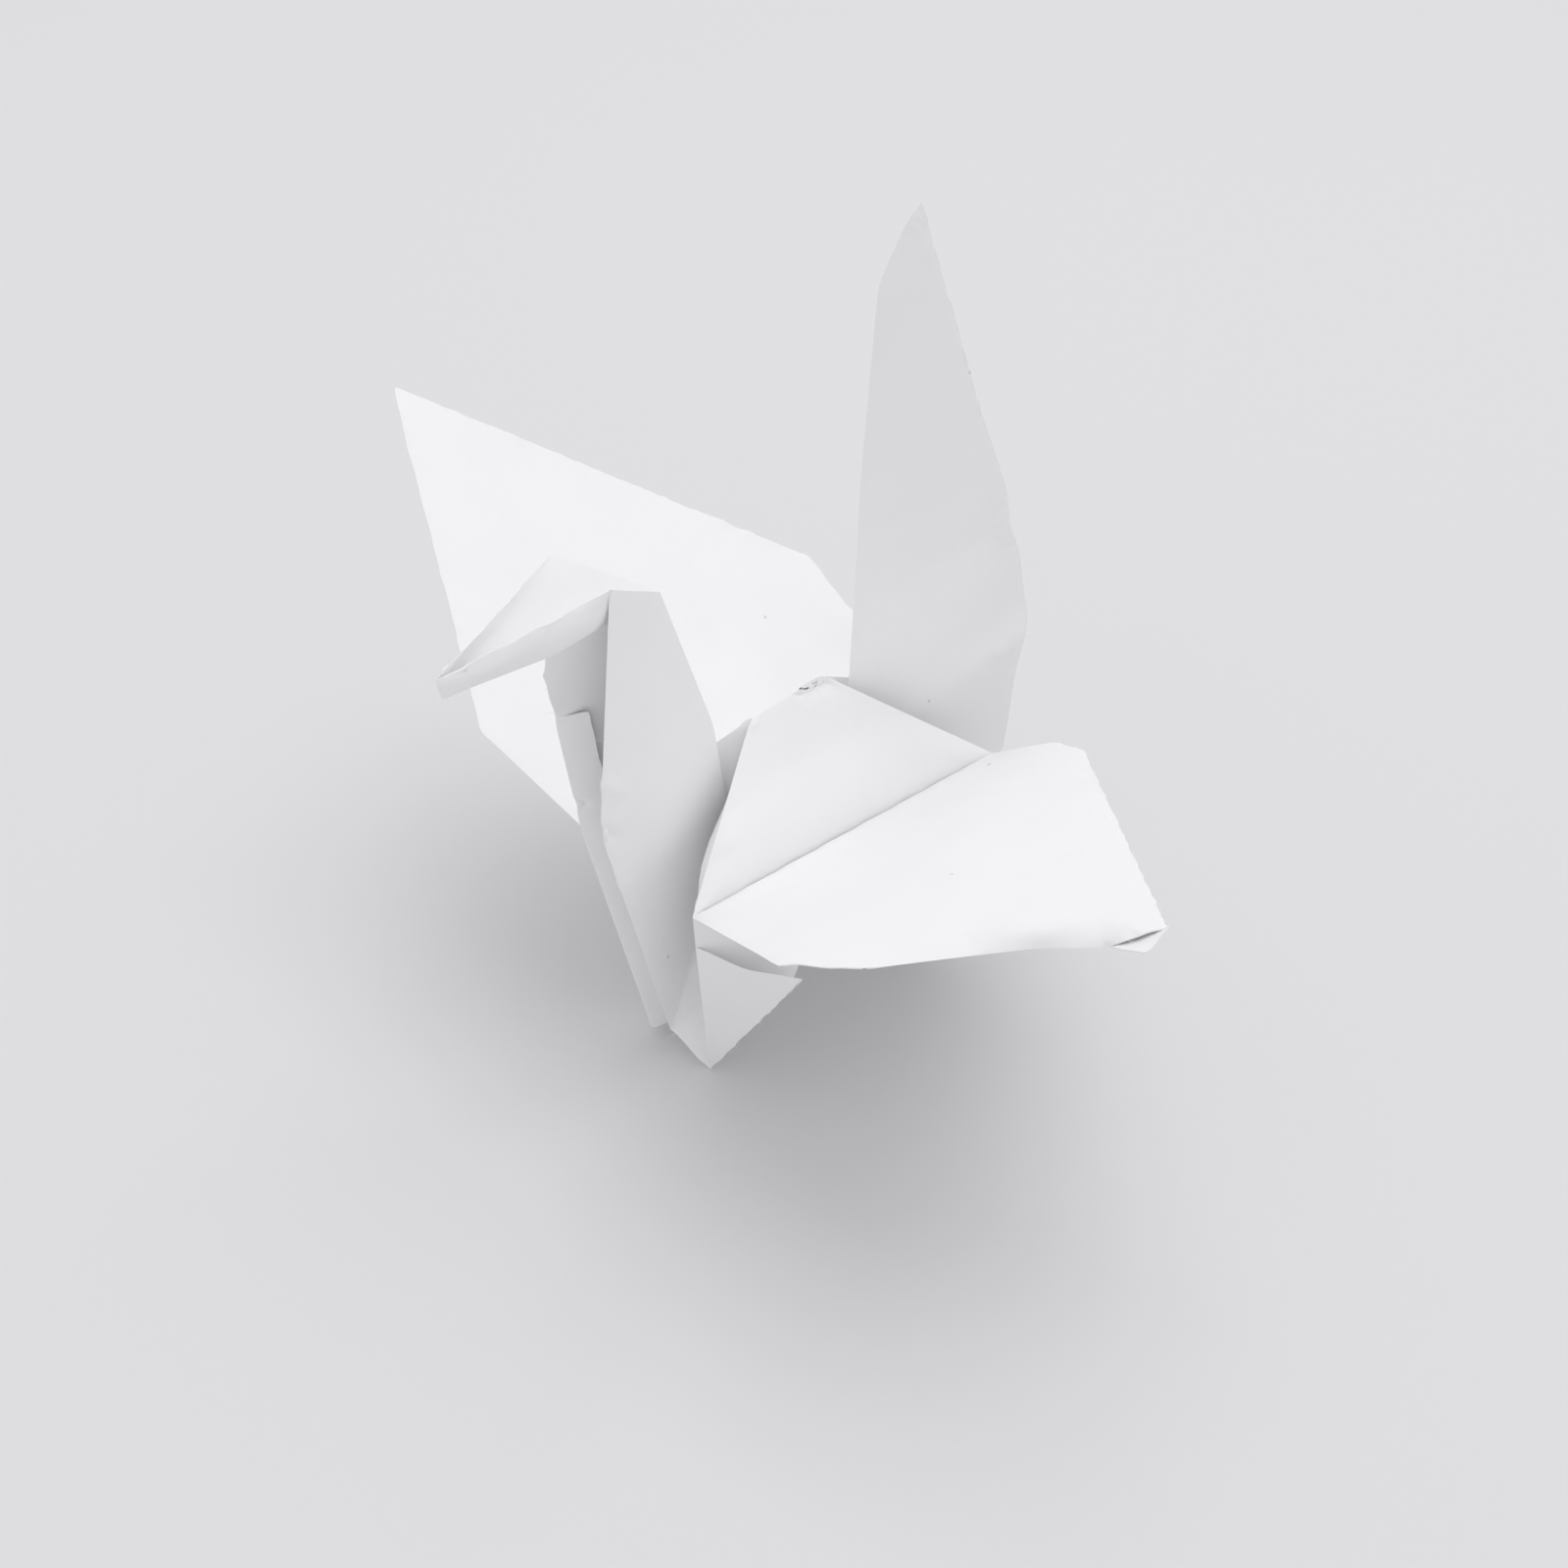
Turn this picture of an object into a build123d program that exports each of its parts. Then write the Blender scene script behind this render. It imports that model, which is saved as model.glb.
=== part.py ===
from build123d import *
import math
import os

import numpy as np

# Origami crane, folded from one square of white paper. The beak points to -Y, the tail stands at +Y,
# +X is the bird's left and +Z is up. Every panel belongs to one sheet: each fold joins two panels, and
# the raw edge of the paper runs once round the whole bird. Lengths are in millimetres, angles in degrees.

paper_thickness = 0.16
longest_mitre = 1.0  # limit on how far a sharp fold's edge stands out from its fold line

# Body: two long hinges carry the wings, and the hump rises between them
hinge_length = 36.0
hinge_height = 22.0
nose_lift = 1.5
body_width = 13.8
hump_height = 11.3
ridge_front = 5.6
ridge_rear = 2.4

# Wings: open corners of the sheet, both raised
wing_length = 44.4
left_wing_rise = 30.5
right_wing_rise = 32.0
wing_tip_lead = 8.6
left_wing_front = 22.2
left_wing_front_reach = 16.7
left_wing_rear = 20.0
left_wing_rear_reach = 10.0
right_wing_front = 21.1
right_wing_front_reach = 11.7
right_wing_rear = 19.0
right_wing_rear_reach = 13.9
left_lip_width = 3.2
left_lip_turn = 70.0

# Side flaps under the wings, which end in the four feet
flap_reach = 8.2
flap_setback = 4.8
flap_drop = 4.2
foot_spread = 10.0
left_front_foot = 14.2
right_front_foot = 10.6
rear_foot = 13.0

# Neck: a leg of the sheet turned up inside the body, open to the front
neck_base = 7.6
neck_base_height = 21.6
neck_bend = 9.8
neck_bend_height = 35.0
neck_top = 15.4
neck_top_height = 51.5
throat_reach = 15.4
left_throat_height = 2.8
right_throat_height = 1.0
left_throat_offset = 1.0
right_throat_offset = 1.6
left_breast_reach = 23.4
left_breast_height = 32.8
left_breast_offset = 2.0
right_breast_reach = 20.8
right_breast_height = 26.9
right_breast_offset = 3.6
right_collar_reach = 24.0
right_collar_height = 45.7
neck_hem_width = 5.0
hem_gap = 1.4

# Head: the end of the neck turned forward again
left_brow_reach = 21.4
left_brow_height = 55.5
left_brow_offset = 1.5
right_brow_reach = 22.6
right_brow_height = 56.6
right_brow_offset = 4.0
chin_reach = 25.3
chin_height = 50.6
beak_reach = 35.2
beak_height = 52.6
beak_offset = 0.5

# Tail: the opposite leg, turned up at the rear and open to the back
tail_base = 6.0
tail_base_height = 21.0
tail_spine = 5.9
tail_bend_height = 53.0
tail_shoulder = 6.5
tail_shoulder_height = 69.7
tail_tip = 10.6
tail_tip_height = 74.8
tail_throat = 15.0
tail_throat_height = 3.5
tail_hollow = 25.0
tail_hollow_height = 14.4
tail_elbow = 25.6
tail_elbow_height = 31.0
tail_fold = 22.8
tail_fold_height = 42.0
tail_upper = 18.0
tail_upper_height = 54.0
tail_offset = 2.6
tail_throat_offset = 1.3
tail_upper_offset = 1.7
tail_hem_width = 6.5


def point(x, y, z):
    return np.array([x, y, z], dtype=float)


def beside(side, offset, y, z):
    """A point on the bird's left (side = 1) or right (side = -1)."""
    return point(side * offset, y, z)


def hinge_point(side, y):
    lift = -y * 2 * nose_lift / hinge_length
    return beside(side, body_width / 2, y, hinge_height + lift)


def wing_point(side, rise, y, reach):
    turn = math.radians(rise)
    return hinge_point(side, y) + reach * beside(side, math.cos(turn), 0, math.sin(turn))


def flap_point(side, y, setback):
    return hinge_point(side, y) + beside(side, flap_reach, setback, -flap_drop)


def fan(corners):
    """Triangles of one panel, from its first corner."""
    return [(corners[0], corners[i], corners[i + 1]) for i in range(1, len(corners) - 1)]


def strip(inner, outer):
    """Triangles between two folds that run side by side."""
    triangles = []
    i = 0
    j = 0
    while i < len(inner) - 1 or j < len(outer) - 1:
        inner_share = (i + 1) / len(inner)
        outer_share = (j + 1) / len(outer)
        if j == len(outer) - 1 or (i < len(inner) - 1 and inner_share <= outer_share):
            triangles.append((inner[i], inner[i + 1], outer[j]))
            i += 1
        else:
            triangles.append((inner[i], outer[j + 1], outer[j]))
            j += 1
    return [t for t in triangles if len(set(t)) == 3]


def unit(vector):
    return vector / np.linalg.norm(vector)


def hem_point(side, edge_name, spine_name, width):
    """A corner of a hem: back from the open edge towards the spine, and inside the leg."""
    edge = corners[edge_name]
    return edge + unit(corners[spine_name] - edge) * width - point(side * hem_gap, 0, 0)


# Fold points that both sides share
corners = {
    "ridge front": point(0, -ridge_front, hinge_height + hump_height),
    "ridge rear": point(0, ridge_rear, hinge_height + hump_height),
    "neck base": point(0, -neck_base, neck_base_height),
    "neck bend": point(0, -neck_bend, neck_bend_height),
    "neck top": point(0, -neck_top, neck_top_height),
    "chin": point(-beak_offset / 2, -chin_reach, chin_height),
    "beak": point(-beak_offset, -beak_reach, beak_height),
    "tail base": point(0, tail_base, tail_base_height),
    "tail bend": point(0, tail_spine, tail_bend_height),
    "tail shoulder": point(0, tail_shoulder, tail_shoulder_height),
    "tail tip": point(0, tail_tip, tail_tip_height),
}

# Fold points of the left and right halves
for side, name, rise, front_foot, front, front_reach, rear, rear_reach in (
    (1, "left", left_wing_rise, left_front_foot)
    + (left_wing_front, left_wing_front_reach, left_wing_rear, left_wing_rear_reach),
    (-1, "right", right_wing_rise, right_front_foot)
    + (right_wing_front, right_wing_front_reach, right_wing_rear, right_wing_rear_reach),
):
    half = hinge_length / 2
    corners[name + " hinge front"] = hinge_point(side, -half)
    corners[name + " hinge rear"] = hinge_point(side, half)
    corners[name + " wing front"] = wing_point(side, rise, -front, front_reach)
    corners[name + " wing rear"] = wing_point(side, rise, rear, rear_reach)
    corners[name + " wing tip"] = wing_point(side, rise, -wing_tip_lead, wing_length)
    corners[name + " flap front"] = flap_point(side, -half, flap_setback)
    corners[name + " flap rear"] = flap_point(side, half, -flap_setback)
    corners[name + " foot front"] = beside(side, foot_spread / 2, -front_foot, 0)
    corners[name + " foot rear"] = beside(side, foot_spread / 2, rear_foot, 0)
    corners[name + " tail throat"] = beside(side, tail_throat_offset, tail_throat, tail_throat_height)
    corners[name + " tail hollow"] = beside(side, tail_offset, tail_hollow, tail_hollow_height)
    corners[name + " tail elbow"] = beside(side, tail_offset, tail_elbow, tail_elbow_height)
    corners[name + " tail fold"] = beside(side, tail_offset, tail_fold, tail_fold_height)
    corners[name + " tail upper"] = beside(side, tail_upper_offset, tail_upper, tail_upper_height)

# The neck stands more open on the right than on the left
corners["left throat"] = point(left_throat_offset, -throat_reach, left_throat_height)
corners["left breast"] = point(left_breast_offset, -left_breast_reach, left_breast_height)
corners["left brow"] = point(left_brow_offset, -left_brow_reach, left_brow_height)
corners["right throat"] = point(-right_throat_offset, -throat_reach, right_throat_height)
corners["right breast"] = point(-right_breast_offset, -right_breast_reach, right_breast_height)
corners["right collar"] = point(-right_breast_offset, -right_collar_reach, right_collar_height)
corners["right brow"] = point(-right_brow_offset, -right_brow_reach, right_brow_height)

# The open edges of both legs are hemmed: the paper turns back inside and ends in a raw edge
for side, name in ((1, "left"), (-1, "right")):
    corners[name + " neck hem"] = hem_point(side, name + " breast", "neck bend", neck_hem_width)
    corners[name + " tail hem"] = hem_point(side, name + " tail elbow", "tail bend", tail_hem_width)

# The front edge of the left wing curls under near its tip
leading_edge = unit(corners["left wing front"] - corners["left wing tip"])
wing_face = unit(np.cross(leading_edge, corners["left wing rear"] - corners["left wing tip"]))
across = np.cross(wing_face, leading_edge)
curl = math.radians(left_lip_turn)
lip_fall = -math.copysign(1, wing_face[2]) * math.sin(curl) * wing_face
lip_way = leading_edge + across * math.cos(curl) + lip_fall
corners["left wing lip"] = corners["left wing tip"] + left_lip_width * lip_way

neck_spine = ["neck base", "neck bend", "neck top", "chin", "beak"]
neck_edges = {
    "left": ["left throat", "left breast", "left brow", "beak"],
    "right": ["right throat", "right breast", "right collar", "right brow", "beak"],
}
tail_line = ["tail base", "tail bend", "tail shoulder", "tail tip"]
tail_stations = ["tail throat", "tail hollow", "tail elbow", "tail fold", "tail upper"]

panels = []
for side, name in ((1, "left"), (-1, "right")):
    half_panels = []
    hinge = {end: name + " hinge " + end for end in ("front", "rear")}
    wing = {end: name + " wing " + end for end in ("front", "rear")}
    flap = {end: name + " flap " + end for end in ("front", "rear")}
    foot = {end: name + " foot " + end for end in ("front", "rear")}
    tip = name + " wing tip"
    half_panels += fan(["ridge front", hinge["front"], hinge["rear"], "ridge rear"])
    half_panels += fan([hinge["rear"], hinge["front"], wing["front"], tip, wing["rear"]])
    if name == "left":
        half_panels.append((wing["front"], "left wing lip", tip))
    tail_edge = [name + " " + station for station in tail_stations] + ["tail tip"]
    for end, ridge, base, spine, edge, hem, hem_start in (
        ("front", "ridge front", "neck base", neck_spine, neck_edges[name], " neck hem", 0),
        ("rear", "ridge rear", "tail base", tail_line, tail_edge, " tail hem", 1),
    ):
        leg = [(ridge, base, hinge[end]), (base, foot[end], hinge[end]), (base, edge[0], foot[end])]
        leg += [(hinge[end], foot[end], flap[end]), (hinge[end], flap[end], wing[end])]
        leg += strip(spine, edge)
        hemmed = edge[hem_start:-1]
        leg += strip(hemmed, [hemmed[0], name + hem, hemmed[-1]])
        half_panels += leg if end == "front" else [t[::-1] for t in leg]
    panels += half_panels if side == 1 else [t[::-1] for t in half_panels]


def panel_normal(triangle):
    a, b, c = (corners[name] for name in triangle)
    return unit(np.cross(b - a, c - a))


def mitre(name):
    """Half the paper's thickness at a corner, measured square to every panel that meets there."""
    normals = np.array([panel_normal(t) for t in panels if name in t])
    half = np.full(len(normals), paper_thickness / 2)
    step = np.linalg.lstsq(normals, half, rcond=0.05)[0]
    return step * min(1, longest_mitre / np.linalg.norm(step))


steps = {name: mitre(name) for name in corners}
upper = {name: Vector(*(corners[name] + steps[name])) for name in corners}
lower = {name: Vector(*(corners[name] - steps[name])) for name in corners}


def facet(a, b, c):
    return Face(Wire.make_polygon([a, b, c], close=True))


folds = {}
for a, b, c in panels:
    for edge in ((a, b), (b, c), (c, a)):
        folds[edge] = folds.get(edge, 0) + 1
raw_edges = [edge for edge in folds if edge[::-1] not in folds]

faces = []
for a, b, c in panels:
    faces.append(facet(upper[a], upper[b], upper[c]))
    faces.append(facet(lower[a], lower[c], lower[b]))
for a, b in raw_edges:
    faces.append(facet(upper[b], upper[a], lower[a]))
    faces.append(facet(upper[b], lower[a], lower[b]))

crane = Solid(Shell(faces))
box = crane.bounding_box()
crane = Pos(-box.center().X, -box.center().Y, -box.min.Z) * crane
crane.label = "folded_sheet"

os.makedirs("parts", exist_ok=True)
export_step(crane, "parts/folded_sheet.step")
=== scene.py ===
import math
import random

import bmesh
import bpy
from mathutils import Matrix, Vector, noise


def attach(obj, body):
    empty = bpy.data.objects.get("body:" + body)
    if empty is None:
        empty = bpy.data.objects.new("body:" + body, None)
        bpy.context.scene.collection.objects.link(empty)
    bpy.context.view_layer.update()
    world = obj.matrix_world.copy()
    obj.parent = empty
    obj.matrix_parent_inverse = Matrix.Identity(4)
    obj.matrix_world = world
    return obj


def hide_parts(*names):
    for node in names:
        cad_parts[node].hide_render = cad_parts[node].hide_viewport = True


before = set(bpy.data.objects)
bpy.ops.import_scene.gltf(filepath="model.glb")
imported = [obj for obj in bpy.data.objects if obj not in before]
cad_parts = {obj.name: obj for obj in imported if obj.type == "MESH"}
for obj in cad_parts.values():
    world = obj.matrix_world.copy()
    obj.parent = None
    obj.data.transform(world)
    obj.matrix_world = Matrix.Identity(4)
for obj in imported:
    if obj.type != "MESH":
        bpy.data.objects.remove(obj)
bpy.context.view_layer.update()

millimetre = 0.001

# The crane's own frame: beak to -Y, tail to +Y, the bird's left to +X, feet at the bottom.
# Lengths are in millimetres here and become metres when the sheet is finished.
body = {
    "shift": (-0.28, 4.64, 0.1),  # from the fold drawing to the middle of the crane's box
    "hingeLength": 36.0,
    "hingeHeight": 22.0,
    "noseLift": 1.5,
    "width": 13.8,
    "humpTop": 33.3,
    "ridgeFront": 5.6,
    "ridgeRear": 3.0,
    # A torn bit of the ridge: place along it, height above it
    "ridgeTab": {"tabFoot": (-0.8, 0.1), "tabTop": (0.9, 0.5), "tabEnd": (2.4, 0.3)},
    "flapReach": 8.2,
    "flapSetback": 4.8,
    "flapDrop": 4.2,
    "footSpread": 10.0,
    # The deepest points beside the neck and the tail
    "gusset": {"Front": (2.8, -10.2, 7.0), "Rear": (2.8, 10.2, 7.0)},
    "frontFoot": {"left": 14.2, "right": 10.6},
    "rearFoot": 13.0,
    "pocketStart": 0.18,  # where the pocket's rim leaves the fold from hinge to foot
    "pocketSag": 1.0,
    "sagPlace": 0.45,  # along the rim
    "pocketPlace": 0.45,  # the pocket's bottom, along the way from hinge to flap
    "pocketDepth": 5.0,
    "pocketFall": 10.0,
    "pocketRoof": (12.0, 5.5, -0.8),  # back from the hinge's end, out along the wing, and under it
}

# Wing outlines from the front corner round to the rear: place along the hinge, reach from it,
# and height above the plane of the wing
wings = {
    "left": {
        "rise": 30.5,
        "outline": {
            "leftWingFront": (-22.2, 16.7, 0.0),
            "leftRollMiddle": (-13.5, 29.6, 0.4),
            "leftRollOuter": (-9.0, 38.5, 0.4),
            "leftWingTip": (-8.1, 44.2, 0.0),
            "leftWingRear": (20.0, 10.0, 0.0),
            "leftWingHeel": (21.4, 4.7, 0.0),
        },
    },
    "right": {
        "rise": 32.0,
        "outline": {
            "rightWingFront": (-21.1, 11.7, 0.0),
            "rightWingTip": (-9.1, 43.7, 0.0),
            "rightWingRear": (18.9, 13.9, 0.0),
            "rightWingHeel": (19.5, 7.1, 0.0),
        },
    },
}

# The front edge of the left wing rolls over and turns under, and its end stands open at the tip
leadingEdge = {
    "leftLeadInner": (-20.2, 24.3, -0.3),
    "leftLeadMiddle": (-14.6, 30.4, -1.0),
    "leftLeadOuter": (-11.7, 34.5, -1.2),
    "leftLipRoot": (-10.1, 40.0, -1.2),
}
tipArch = {"leftArchInner": (-9.7, 41.8, -0.6), "leftArchOuter": (-9.1, 43.0, -0.25)}
lip = {
    "leftLipCorner": (-10.5, 44.0, -1.0),
    "leftLipSide": (-9.1, 44.0, -0.5),
    "leftWingTip": (-8.1, 44.2, 0.0),
    "leftUnderOuter": (-6.4, 41.2, -0.8),
    "leftUnderInner": (-16.0, 25.0, -1.5),
}

# Lines that are bent, not folded
softLines = [
    ["leftWingFront", "leftRollMiddle", "leftRollOuter", "leftWingTip"],
    ["leftBrow", "leftCheekBack", "leftCheekFront", "beak"],
    ["chin", "leftCheekBack"],
    ["leftCheekFront", "beakUnder"],
    ["chin", "rightBrow", "beakUnder"],
    ["tailShoulder", "leftTailUpper", "tailCrown"],
    ["tailShoulder", "rightTailUpper", "tailCrown"],
]

neckAndHead = {
    "neckBase": (0, -7.6, 21.6),
    "neckBend": (0, -9.8, 35.0),
    "neckTop": (0, -15.4, 51.5),
    "chin": (-0.2, -25.3, 50.6),
    "beak": (-0.5, -35.7, 53.5),
    "beakUnder": (-0.5, -35.4, 51.7),
    "leftThroat": (1.0, -15.4, 2.8),
    "leftBreast": (2.0, -23.4, 32.8),
    "leftBrow": (1.5, -21.4, 55.5),
    "leftCheekBack": (2.1, -23.4, 53.2),
    "leftCheekFront": (0.4, -32.8, 52.8),
    "rightThroat": (-1.6, -15.4, 1.0),
    "rightHemFoot": (-0.7, -14.0, 1.4),
    "rightBreast": (-3.6, -20.8, 26.9),
    "rightNotch": (-3.5, -23.2, 41.0),
    "rightHemTop": (-2.1, -21.0, 41.5),
    "rightCollar": (-3.6, -24.0, 45.7),
    "rightBrow": (-5.0, -21.6, 55.3),
}
tail = {
    "tailBase": (0, 6.0, 21.0),
    "tailBend": (0, 5.9, 53.0),
    "tailShoulder": (0, 6.5, 69.7),
    "tailCrown": (0, 9.5, 74.6),
    "tailTip": (0, 10.5, 75.1),
}
tailEdge = {
    "TailThroat": (1.3, 15.0, 3.5),
    "TailHollow": (2.6, 25.0, 14.4),
    "TailElbow": (2.6, 25.6, 31.0),
    "TailFold": (2.6, 22.8, 42.0),
    "TailUpper": (1.73, 18.0, 54.0),
}
hem = {"gap": 1.0, "neckWidth": 2.6, "tailWidth": 6.5}

sides = {"left": 1, "right": -1}
points = {
    "ridgeFront": Vector((0, -body["ridgeFront"], body["humpTop"])),
    "ridgeRear": Vector((0, body["ridgeRear"], body["humpTop"])),
}
for name, (along, height) in body["ridgeTab"].items():
    points[name] = Vector((0, along, body["humpTop"] + height))
for name, spot in {**neckAndHead, **tail}.items():
    points[name] = Vector(spot)


def hingeLift(along):
    return -along * 2 * body["noseLift"] / body["hingeLength"]


def wingPoint(name, along, reach, height):
    turn = math.radians(wings[name]["rise"])
    out = Vector((math.cos(turn), 0, math.sin(turn)))
    up = Vector((-math.sin(turn), 0, math.cos(turn)))
    root = Vector((body["width"] / 2, along, body["hingeHeight"] + hingeLift(along)))
    spot = root + out * reach + up * height
    return Vector((sides[name] * spot.x, spot.y, spot.z))


def hemPoint(name, edge, spine, width):
    inward = (points[spine] - points[edge]).normalized() * width
    return points[edge] + inward - Vector((sides[name] * hem["gap"], 0, 0))


for name, side in sides.items():
    for end, way, footPlace in (("Front", -1, body["frontFoot"][name]), ("Rear", 1, body["rearFoot"])):
        along = way * body["hingeLength"] / 2
        flapAlong = along - way * body["flapSetback"]
        hinge = Vector((side * body["width"] / 2, along, body["hingeHeight"] + hingeLift(along)))
        foot = Vector((side * body["footSpread"] / 2, way * footPlace, 0))
        flap = hinge + Vector((side * body["flapReach"], -way * body["flapSetback"], -body["flapDrop"]))
        rimStart = hinge.lerp(foot, body["pocketStart"])
        points[name + "Hinge" + end] = hinge
        points[name + "Foot" + end] = foot
        points[name + "Flap" + end] = flap
        points[name + "RimStart" + end] = rimStart
        rimMiddle = rimStart.lerp(flap, body["sagPlace"])
        bottom = hinge.lerp(flap, body["pocketPlace"])
        points[name + "RimMiddle" + end] = rimMiddle - Vector((0, 0, body["pocketSag"]))
        points[name + "Pocket" + end] = bottom - Vector((0, way * body["pocketDepth"], body["pocketFall"]))
        back, out, under = body["pocketRoof"]
        points[name + "Roof" + end] = wingPoint(name, along - way * back, out, under)
    for spot, place in wings[name]["outline"].items():
        points[spot] = wingPoint(name, *place)
    for spot, (x, y, z) in tailEdge.items():
        points[name + spot] = Vector((side * x, y, z))
    for end, (x, y, z) in body["gusset"].items():
        points[name + "Gusset" + end] = Vector((side * x, y, z))
    points[name + "NeckHem"] = hemPoint(name, name + "Breast", "neckBend", hem["neckWidth"])
    points[name + "TailHem"] = hemPoint(name, name + "TailElbow", "tailBend", hem["tailWidth"])
for spot, place in {**leadingEdge, **tipArch, **lip}.items():
    points[spot] = wingPoint("left", *place)

# Panels of the sheet: every fold is shared by two of them
panels = [
    ["leftWingFront", *leadingEdge, *tipArch, "leftWingTip", "leftRollOuter", "leftRollMiddle"],
    [*leadingEdge, *lip],
    ["neckTop", "leftBrow", "leftCheekBack", "chin"],
    ["leftBrow", "beak", "leftCheekFront", "leftCheekBack"],
    ["leftCheekBack", "leftCheekFront", "beakUnder", "chin"],
    ["beak", "beakUnder", "leftCheekFront"],
    ["neckTop", "rightBrow", "chin"],
    ["chin", "rightBrow", "beakUnder"],
    ["beakUnder", "rightBrow", "beak"],
    ["neckTop", "rightCollar", "rightBrow"],
    ["neckBase", "leftThroat", "leftBreast", "leftBrow", "neckTop", "neckBend"],
    ["neckBase", "rightThroat", "rightBreast", "rightNotch", "rightCollar", "neckTop", "neckBend"],
    ["leftThroat", "leftBreast", "leftBrow", "leftNeckHem"],
    ["rightThroat", "rightBreast", "rightNotch", "rightHemTop", "rightNeckHem", "rightHemFoot"],
]
for name in sides:
    panels += [
        ["ridgeFront", name + "HingeFront", name + "HingeRear", "ridgeRear", *reversed(body["ridgeTab"])],
        [name + "HingeRear", name + "HingeFront", *wings[name]["outline"]],
        ["tailBase", *(name + spot for spot in tailEdge), "tailShoulder", "tailBend"],
        ["tailShoulder", name + "TailUpper", "tailCrown"],
        ["tailCrown", name + "TailUpper", "tailTip"],
        [name + spot for spot in ("TailHollow", "TailElbow", "TailFold", "TailUpper", "TailHem")],
    ]
    for end, wingEnd, ridge, base, edge in (
        ("Front", "WingFront", "ridgeFront", "neckBase", "Throat"),
        ("Rear", "WingHeel", "ridgeRear", "tailBase", "TailThroat"),
    ):
        hinge, foot, gusset = (name + part + end for part in ("Hinge", "Foot", "Gusset"))
        flap, rimStart, rimMiddle = (name + part + end for part in ("Flap", "RimStart", "RimMiddle"))
        pocket, roof = (name + part + end for part in ("Pocket", "Roof"))
        panels += [[ridge, base, hinge], [base, gusset, foot, rimStart, hinge]]
        panels += [[base, name + edge, gusset], [name + edge, foot, gusset]]
        panels += [[rimStart, foot, flap, rimMiddle], [rimStart, rimMiddle, flap, pocket]]
        panels += [[hinge, rimStart, pocket, roof], [hinge, roof, name + wingEnd]]

paperSheet = {
    "thickness": 0.11,
    "longestEdge": 2.4,  # the panels are cut up until no edge is longer
    "rawEdge": 1.2,
    "wornEdge": 0.75,
    "wornMargin": 0.4,
    "cuts": 9,
    "foldCrease": 1.0,
    "bendCrease": 0.5,
    "relaxPasses": 30,
    "bendPasses": 3,
    "relaxShare": 0.5,
    "swell": 0.3,  # slow unevenness of each panel, growing with the distance from its folds
    "swellRings": 5,
    "swellSize": 13.0,
    "fray": 0.1,
    "sharpAngle": 38.0,
    "seed": 11,
}

# Soft creases and swellings: from, to, height at the start and the end, width,
# and 1 for a crease or 2 for a swelling
humpSwell = {"height": 0.8, "share": 0.25, "width": 5.0}
dents = {
    "tailCreaseUpper": ((2.3, 23.1, 41.6), (0.5, 9.4, 39.8), -0.7, -0.3, 5.0, 1),
    "tailCreaseLower": ((2.6, 25.3, 28.1), (1.5, 17.6, 26.4), 0.9, 0.3, 5.0, 1),
    "breastWrinkleHigh": ((1.7, -22.7, 37.4), (1.5, -20.1, 34.5), 0.4, 0.0, 1.0, 1),
    "breastWrinkleMiddle": ((2.0, -23.4, 32.8), (1.7, -20.5, 29.9), -0.45, 0.0, 1.1, 1),
    "breastWrinkleLow": ((2.2, -22.5, 26.3), (1.8, -19.1, 24.4), 0.35, 0.0, 1.0, 1),
    "innerWrinkle": ((-3.3, -21.2, 30.9), (-2.9, -19.5, 31.1), -0.4, 0.0, 1.0, 1),
    "innerCrease": ((-3.1, -23.7, 40.9), (-2.1, -20.0, 41.2), -0.2, -0.1, 1.4, 1),
}

for name in sides:
    start = points[name + "HingeFront"].lerp(points["ridgeFront"], humpSwell["share"])
    end = points[name + "HingeRear"].lerp(points["ridgeRear"], humpSwell["share"])
    height = humpSwell["height"]
    dents[name + "HumpSwell"] = (start, end, height, height, humpSwell["width"], 2)

# Points worn soft by folding: how far the wear reaches, how much it swells and how rough it is
wornPoints = {
    "ridgeFront": (1.4, 0.0, 0.35),
    "tabTop": (2.2, 0.0, 0.16),
    "tailTip": (2.2, 0.4, 0.3),
    "beak": (2.4, 0.25, 0.25),
    "leftHingeFront": (1.0, 0.0, 0.12),
    "leftWingTip": (1.5, 0.0, 0.15),
}
wornGrain = {"coarse": 1.1, "fine": 2.7}


def refine(bm, shift):
    wornAndHighlight = [(points[name] + shift, reach) for name, (reach, swell, rough) in wornPoints.items()]
    for start, end, *heights, width, roundness in dents.values():
        if width < paperSheet["longestEdge"]:
            wornAndHighlight += [(Vector(start).lerp(Vector(end), share) + shift, width) for share in (0, 0.5, 1)]
    margin = paperSheet["wornMargin"]
    for step in range(paperSheet["cuts"]):
        longEdges = []
        for edge in bm.edges:
            middle = (edge.verts[0].co + edge.verts[1].co) / 2
            limit = paperSheet["rawEdge"] if edge.is_boundary else paperSheet["longestEdge"]
            if any((middle - spot).length < reach + margin for spot, reach in wornAndHighlight):
                limit = paperSheet["wornEdge"]
            if edge.calc_length() > limit:
                longEdges.append(edge)
        if not longEdges:
            break
        bmesh.ops.subdivide_edges(bm, edges=longEdges, cuts=1, use_grid_fill=True)
        bmesh.ops.triangulate(bm, faces=bm.faces[:])


def relax(bm, verts, passes):
    for step in range(passes):
        bmesh.ops.smooth_vert(
            bm, verts=verts, factor=paperSheet["relaxShare"], use_axis_x=True, use_axis_y=True, use_axis_z=True
        )


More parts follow.
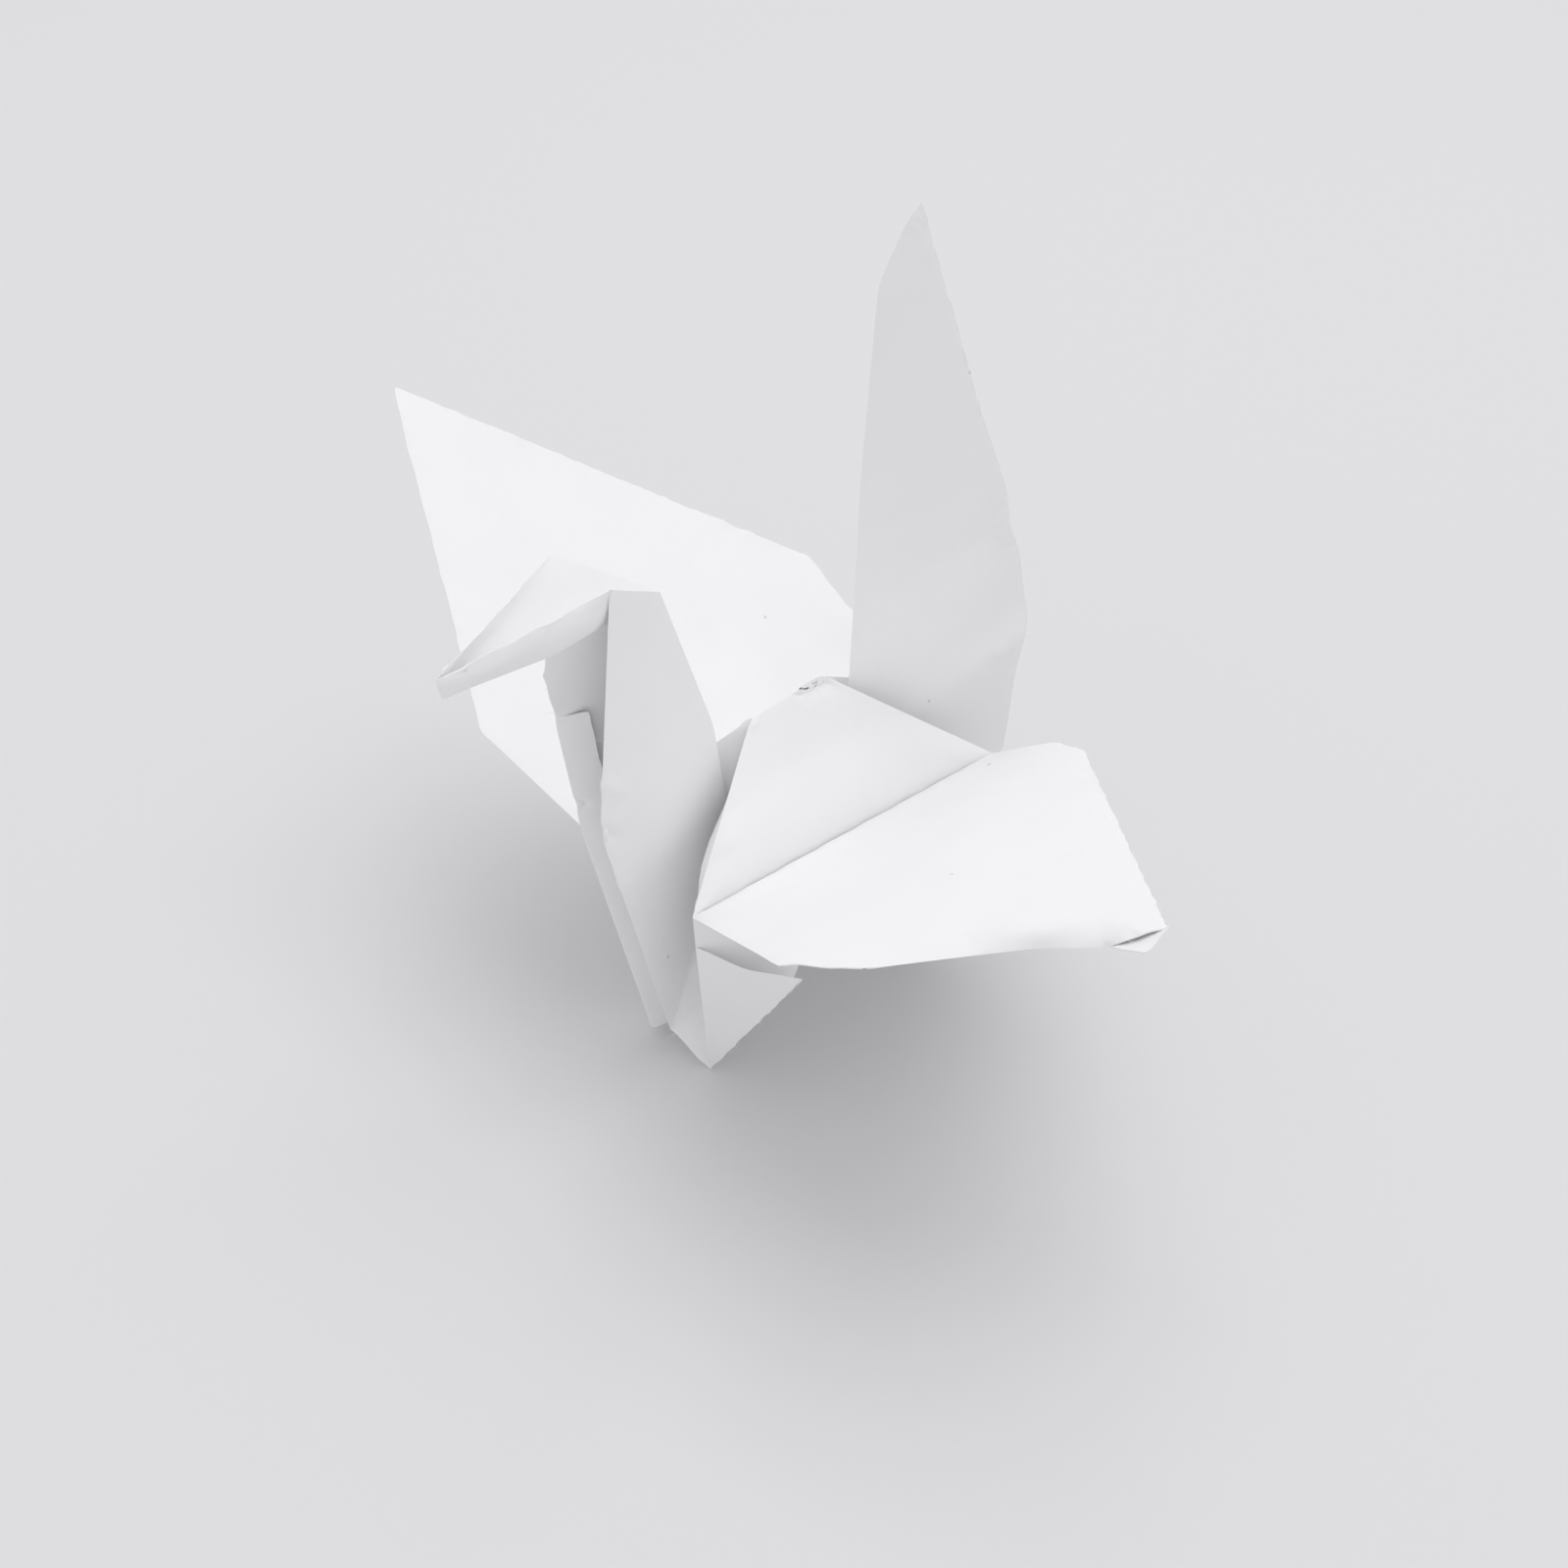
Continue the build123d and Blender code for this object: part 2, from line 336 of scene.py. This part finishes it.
def pressDent(verts, start, end, heightStart, heightEnd, width, roundness):
    run = end - start
    for vert in verts:
        share = min(1, max(0, (vert.co - start).dot(run) / run.length_squared))
        away = (vert.co - start - run * share).length
        if away < width:
            height = heightStart + (heightEnd - heightStart) * share
            vert.co += vert.normal * height * (1 - (away / width) ** roundness) ** 2


def wearPoint(bm, spot, reach, swell, rough):
    for vert in bm.verts:
        away = (vert.co - spot).length / reach
        if away < 1:
            fade = 1 - away * away
            vert.co.x += math.copysign(swell * fade * away, vert.co.x - spot.x)
            coarse = noise.noise_vector(vert.co * wornGrain["coarse"])
            fine = noise.noise_vector(vert.co * wornGrain["fine"]) / 2
            vert.co += (coarse + fine) * rough * fade


fibres = {
    "count": 150,
    "shortest": 0.4,
    "longest": 1.3,
    "radius": 0.02,
    "taper": 0.33,
    "sunk": 0.45,
    "spread": 0.7,
    "lowest": 2.0,
}


def growFibres(mesh, starts):
    bm = bmesh.new()
    bm.from_mesh(mesh)
    for root, outward in starts:
        way = outward + Vector([random.uniform(-1, 1) * fibres["spread"] for axis in range(3)])
        length = random.uniform(fibres["shortest"], fibres["longest"]) * millimetre
        turn = way.to_track_quat("Z", "Y").to_matrix().to_4x4()
        bmesh.ops.create_cone(
            bm,
            cap_ends=True,
            segments=3,
            radius1=fibres["radius"] * millimetre,
            radius2=fibres["radius"] * fibres["taper"] * millimetre,
            depth=length,
            matrix=Matrix.Translation(root + way.normalized() * length * fibres["sunk"]) @ turn,
        )
    bm.to_mesh(mesh)
    bm.free()


def makeCrane():
    random.seed(paperSheet["seed"])
    noise.seed_set(paperSheet["seed"])
    shift = Vector(body["shift"])
    bm = bmesh.new()
    corners = {name: bm.verts.new(spot + shift) for name, spot in points.items()}
    for panel in panels:
        bm.faces.new([corners[name] for name in panel])
    crease = bm.edges.layers.float.new("crease_edge")
    for edge in bm.edges:
        edge[crease] = paperSheet["foldCrease"] if len(edge.link_faces) == 2 else 0.0
    for line in softLines:
        for first, second in zip(line, line[1:]):
            bm.edges.get((corners[first], corners[second]))[crease] = paperSheet["bendCrease"]
    bmesh.ops.recalc_face_normals(bm, faces=bm.faces[:])
    bm.normal_update()
    if corners["ridgeFront"].normal.z < 0:
        bmesh.ops.reverse_faces(bm, faces=bm.faces[:])
    bmesh.ops.triangulate(bm, faces=bm.faces[:])
    refine(bm, shift)
    bent = {v for e in bm.edges if e[crease] > 0 or e.is_boundary for v in e.verts}
    held = {v for e in bm.edges if e[crease] == 1 or e.is_boundary for v in e.verts}
    relax(bm, [v for v in bm.verts if v not in bent], paperSheet["relaxPasses"])
    free = [v for v in bm.verts if v not in held]
    relax(bm, free, paperSheet["bendPasses"])
    for edge in bm.edges:
        edge[crease] = math.floor(edge[crease])
    bm.normal_update()
    ring = set(held)
    depth = {vert: 0 for vert in held}
    for step in range(1, paperSheet["swellRings"] + 1):
        ring = {e.other_vert(v) for v in ring for e in v.link_edges} - set(depth)
        depth.update({vert: step for vert in ring})
    for vert in free:
        share = depth.get(vert, paperSheet["swellRings"]) / paperSheet["swellRings"]
        vert.co += vert.normal * noise.noise(vert.co / paperSheet["swellSize"]) * paperSheet["swell"] * share
    for dent in dents.values():
        moved = bm.verts if dent[-1] == 1 else free
        pressDent(moved, Vector(dent[0]) + shift, Vector(dent[1]) + shift, *dent[2:])
    for name, wearAndHighlight in wornPoints.items():
        wearPoint(bm, points[name] + shift, *wearAndHighlight)
    for vert in bm.verts:
        if vert.is_boundary:
            vert.co += Vector([random.uniform(-1, 1) * paperSheet["fray"] for axis in range(3)])
    # Painted highlight: vertices on fold lines and raw edges are marked for a lighter paper colour, standing
    # in for the light that the rounded folds catch
    wearAndHighlight = bm.verts.layers.float.new("foldHighlight")
    for vert in bm.verts:
        vert[wearAndHighlight] = 1.0 if vert in held else 0.0
    rawEdge = [v for v in bm.verts if v.is_boundary and v.co.z > fibres["lowest"]]
    roots = random.sample(rawEdge, fibres["count"])
    starts = []
    for vert in roots:
        middle = sum((f.calc_center_median() for f in vert.link_faces), Vector()) / len(vert.link_faces)
        starts.append((vert.co * millimetre, (vert.co - middle).normalized()))
    bmesh.ops.scale(bm, vec=(millimetre,) * 3, verts=bm.verts[:])
    mesh = bpy.data.meshes.new("crane")
    bm.to_mesh(mesh)
    bm.free()
    mesh.shade_smooth()
    crane = bpy.data.objects.new("crane", mesh)
    bpy.context.scene.collection.objects.link(crane)
    soft = crane.modifiers.new("softFolds", "SUBSURF")
    soft.levels = soft.render_levels = 1
    wall = crane.modifiers.new("paperThickness", "SOLIDIFY")
    wall.thickness = paperSheet["thickness"] * millimetre
    wall.offset = 0.0
    thick = bpy.data.meshes.new_from_object(crane.evaluated_get(bpy.context.evaluated_depsgraph_get()))
    crane.modifiers.clear()
    crane.data = thick
    thick.set_sharp_from_angle(angle=math.radians(paperSheet["sharpAngle"]))
    growFibres(thick, starts)
    return crane


crane = makeCrane()
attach(crane, "root")
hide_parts("folded_sheet")
print("crane folded from", len(panels), "panels,", len(crane.data.polygons), "faces")

paperFinish = {
    "white": (0.93, 0.93, 0.93, 1.0),
    "shade": (0.89, 0.89, 0.895, 1.0),
    # Painted highlight: the lighter colour given to fold lines and raw edges
    "wornAndHighlight": (0.97, 0.97, 0.97, 1.0),
    "mottleScale": 160.0,
    "fibreScale": 2600.0,
    "fibreDepth": 0.012,
    "mottleDetail": 4.0,
    "fibreDetail": 3.0,
    "fibreStrength": 0.6,
    "roughness": 0.85,
    "sheen": 0.3,
    "speck": (0.7, 0.68, 0.66, 1.0),
    "speckScale": 190.0,
    "speckSize": 0.04,
    "speckRarity": 0.6,
}


def makePaper():
    paper = bpy.data.materials.new("whitePaper")
    paper.use_nodes = True
    nodes = paper.node_tree.nodes
    links = paper.node_tree.links
    shader = nodes["Principled BSDF"]
    shader.inputs["Roughness"].default_value = paperFinish["roughness"]
    shader.inputs["Specular IOR Level"].default_value = paperFinish["sheen"]
    place = nodes.new("ShaderNodeTexCoord")
    mottle = nodes.new("ShaderNodeTexNoise")
    mottle.inputs["Scale"].default_value = paperFinish["mottleScale"]
    mottle.inputs["Detail"].default_value = paperFinish["mottleDetail"]
    tone = nodes.new("ShaderNodeMix")
    tone.data_type = "RGBA"
    tone.inputs["A"].default_value = paperFinish["shade"]
    tone.inputs["B"].default_value = paperFinish["white"]
    # Fold lines and raw edges are mixed towards the lighter colour, a painted highlight along the folds
    folds = nodes.new("ShaderNodeAttribute")
    folds.attribute_name = "foldHighlight"
    foldHighlightMix = nodes.new("ShaderNodeMix")
    foldHighlightMix.data_type = "RGBA"
    foldHighlightMix.inputs["B"].default_value = paperFinish["wornAndHighlight"]
    fibre = nodes.new("ShaderNodeTexNoise")
    fibre.inputs["Scale"].default_value = paperFinish["fibreScale"]
    fibre.inputs["Detail"].default_value = paperFinish["fibreDetail"]
    bump = nodes.new("ShaderNodeBump")
    bump.inputs["Distance"].default_value = paperFinish["fibreDepth"] * millimetre
    bump.inputs["Strength"].default_value = paperFinish["fibreStrength"]
    cells = nodes.new("ShaderNodeTexVoronoi")
    cells.inputs["Scale"].default_value = paperFinish["speckScale"]
    small = nodes.new("ShaderNodeMath")
    small.operation = "LESS_THAN"
    small.inputs[1].default_value = paperFinish["speckSize"]
    rare = nodes.new("ShaderNodeMath")
    rare.operation = "GREATER_THAN"
    rare.inputs[1].default_value = paperFinish["speckRarity"]
    chosen = nodes.new("ShaderNodeMath")
    chosen.operation = "MULTIPLY"
    dirt = nodes.new("ShaderNodeMix")
    dirt.data_type = "RGBA"
    dirt.inputs["B"].default_value = paperFinish["speck"]
    links.new(place.outputs["Object"], cells.inputs["Vector"])
    links.new(cells.outputs["Distance"], small.inputs[0])
    links.new(cells.outputs["Color"], rare.inputs[0])
    links.new(small.outputs["Value"], chosen.inputs[0])
    links.new(rare.outputs["Value"], chosen.inputs[1])
    links.new(chosen.outputs["Value"], dirt.inputs["Factor"])
    links.new(foldHighlightMix.outputs["Result"], dirt.inputs["A"])
    links.new(dirt.outputs["Result"], shader.inputs["Base Color"])
    links.new(place.outputs["Object"], mottle.inputs["Vector"])
    links.new(place.outputs["Object"], fibre.inputs["Vector"])
    links.new(mottle.outputs["Fac"], tone.inputs["Factor"])
    links.new(tone.outputs["Result"], foldHighlightMix.inputs["A"])
    links.new(folds.outputs["Fac"], foldHighlightMix.inputs["Factor"])
    links.new(fibre.outputs["Fac"], bump.inputs["Height"])
    links.new(bump.outputs["Normal"], shader.inputs["Normal"])
    return paper


crane.data.materials.append(makePaper())
print("paper finish placed")

studio = {
    "floorSize": 3.0,
    "floorTone": (0.74, 0.74, 0.745, 1.0),
    "floorRoughness": 0.9,
    "roomTone": (0.985, 0.98, 1.0, 1.0),
    "roomStrength": 0.73,
    "keyPlace": (-0.04, 0.16, 0.8),
    "keySize": 0.6,
    "keyPower": 2.2,
}


def makeStudio():
    bm = bmesh.new()
    bmesh.ops.create_grid(bm, x_segments=1, y_segments=1, size=studio["floorSize"] / 2)
    mesh = bpy.data.meshes.new("floor")
    bm.to_mesh(mesh)
    bm.free()
    floor = bpy.data.objects.new("floor", mesh)
    bpy.context.scene.collection.objects.link(floor)
    matt = bpy.data.materials.new("paleFloor")
    matt.use_nodes = True
    matt.node_tree.nodes["Principled BSDF"].inputs["Base Color"].default_value = studio["floorTone"]
    matt.node_tree.nodes["Principled BSDF"].inputs["Roughness"].default_value = studio["floorRoughness"]
    mesh.materials.append(matt)
    world = bpy.data.worlds.new("room")
    world.use_nodes = True
    world.node_tree.nodes["Background"].inputs["Color"].default_value = studio["roomTone"]
    world.node_tree.nodes["Background"].inputs["Strength"].default_value = studio["roomStrength"]
    bpy.context.scene.world = world
    bpy.context.scene.view_settings.view_transform = "Standard"
    light = bpy.data.lights.new("softbox", "AREA")
    light.size = studio["keySize"]
    light.energy = studio["keyPower"]
    lamp = bpy.data.objects.new("softbox", light)
    lamp.location = studio["keyPlace"]
    lamp.rotation_mode = "QUATERNION"
    lamp.rotation_quaternion = (-lamp.location).to_track_quat("-Z", "Y")
    bpy.context.scene.collection.objects.link(lamp)


makeStudio()
print("floor and light placed")

lens = {
    "place": (104.84, -99.61, 156.99),
    "aim": (-1.09, 4.0, 22.67),
    "roll": 2.24,
    "focalLength": 52.33,
    "sensor": 36.0,
    "nearest": 10.0,
}


def makeCamera():
    camera = bpy.data.objects.new("camera", bpy.data.cameras.new("camera"))
    camera.data.sensor_width = lens["sensor"]
    camera.data.lens = lens["focalLength"]
    camera.data.clip_start = lens["nearest"] * millimetre
    camera.location = Vector(lens["place"]) * millimetre
    look = Vector(lens["aim"]) - Vector(lens["place"])
    turn = look.to_track_quat("-Z", "Y").to_matrix() @ Matrix.Rotation(math.radians(lens["roll"]), 3, "Z")
    camera.rotation_euler = turn.to_euler()
    bpy.context.scene.collection.objects.link(camera)
    bpy.context.scene.camera = camera


makeCamera()
print("camera placed")
